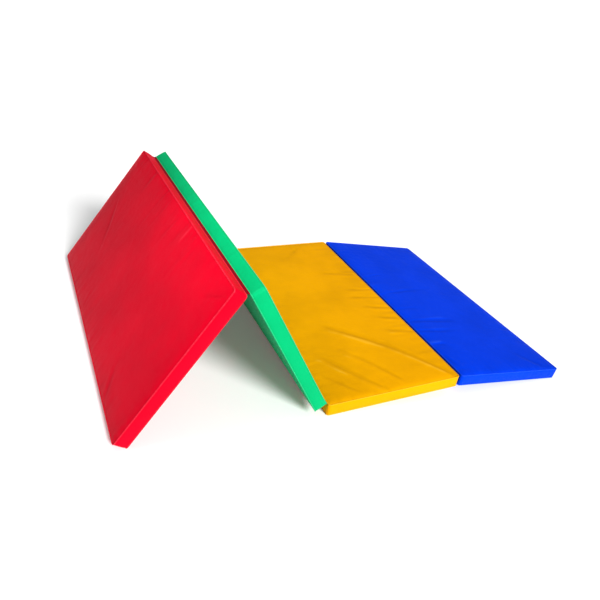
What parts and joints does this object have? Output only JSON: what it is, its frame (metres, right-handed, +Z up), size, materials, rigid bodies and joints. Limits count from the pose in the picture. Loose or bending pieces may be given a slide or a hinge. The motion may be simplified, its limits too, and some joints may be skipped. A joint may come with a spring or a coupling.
{
  "type": "folding gym mat",
  "caption": "Folding gym mat of padded vinyl panels in red, green, yellow and blue, joined by fabric hinges and standing as a tent beside a low roof.",
  "frame": {"origin": "on the floor, in the middle of the area that the standing mat covers", "axes": "+X across the row of panels from red to blue, +Y along the hinges from the near end to the zipped end, +Z up"},
  "size_m": [1.9419, 1.2036, 0.5489],
  "materials": {
    "red_vinyl": "semi-gloss red vinyl-coated polyester with a fine leather-like grain",
    "green_vinyl": "semi-gloss green vinyl-coated polyester with a fine leather-like grain",
    "yellow_vinyl": "semi-gloss yellow vinyl-coated polyester with a fine leather-like grain",
    "blue_vinyl": "semi-gloss blue vinyl-coated polyester with a fine leather-like grain",
    "foam": "matt closed-cell polyethylene foam",
    "zip_tape": "black woven polyester tape with a nylon coil",
    "zip_metal": "nickel-plated zinc, lightly worn",
    "hinge_web": "dark red vinyl-coated polyester strip"
  },
  "bodies": {
    "red_panel": {"red_foam_core": "foam", "red_top_cover": "red_vinyl", "red_bottom_cover": "red_vinyl", "red_border": "red_vinyl", "red_zip": "zip_tape"},
    "green_panel": {"green_foam_core": "foam", "green_top_cover": "green_vinyl", "green_bottom_cover": "green_vinyl", "green_border": "green_vinyl", "green_zip": "zip_tape", "ridge_hinge_web": "hinge_web"},
    "yellow_panel": {"yellow_foam_core": "foam", "yellow_top_cover": "yellow_vinyl", "yellow_bottom_cover": "yellow_vinyl", "yellow_border": "yellow_vinyl", "yellow_zip": "zip_tape", "side_hinge_web": "green_vinyl", "roof_hinge_web": "yellow_vinyl"},
    "blue_panel": {"blue_foam_core": "foam", "blue_top_cover": "blue_vinyl", "blue_bottom_cover": "blue_vinyl", "blue_border": "blue_vinyl", "blue_zip": "zip_tape"},
    "red_slider": {"red_zip_slider": "zip_metal"},
    "green_slider": {"green_zip_slider": "zip_metal"},
    "yellow_slider": {"yellow_zip_slider": "zip_metal"},
    "blue_slider": {"blue_zip_slider": "zip_metal"}
  },
  "joints": [
    {"name": "side_hinge", "type": "hinge", "parent": "yellow_panel", "child": "green_panel", "pos_m": [-0.24003, 0, 0.0527], "axis": [0, 1, 0], "range_deg": [-60.1, 119.9], "deforming": ["side_hinge_web"]},
    {"name": "ridge_hinge", "type": "hinge", "parent": "green_panel", "child": "red_panel", "pos_m": [-0.62585, 0, 0.52078], "axis": [0, -1, 0], "range_deg": [-115.98, 64.02], "deforming": ["ridge_hinge_web"]},
    {"name": "roof_hinge", "type": "hinge", "parent": "yellow_panel", "child": "blue_panel", "pos_m": [0.36646, 0, 0.04215], "axis": [0, 1, 0], "range_deg": [-8.6, 171.4], "deforming": ["roof_hinge_web"]},
    {"name": "red_zip_slide", "type": "slide", "parent": "red_panel", "child": "red_slider", "axis": [0.4973, 0, 0.8676], "range_m": [0, 0.536]},
    {"name": "green_zip_slide", "type": "slide", "parent": "green_panel", "child": "green_slider", "axis": [-0.5621, 0, 0.8271], "range_m": [0, 0.536]},
    {"name": "yellow_zip_slide", "type": "slide", "parent": "yellow_panel", "child": "yellow_slider", "axis": [0.9972, 0, 0.075], "range_m": [0, 0.536]},
    {"name": "blue_zip_slide", "type": "slide", "parent": "blue_panel", "child": "blue_slider", "axis": [-0.9972, 0, 0.075], "range_m": [0, 0.536]}
  ]
}
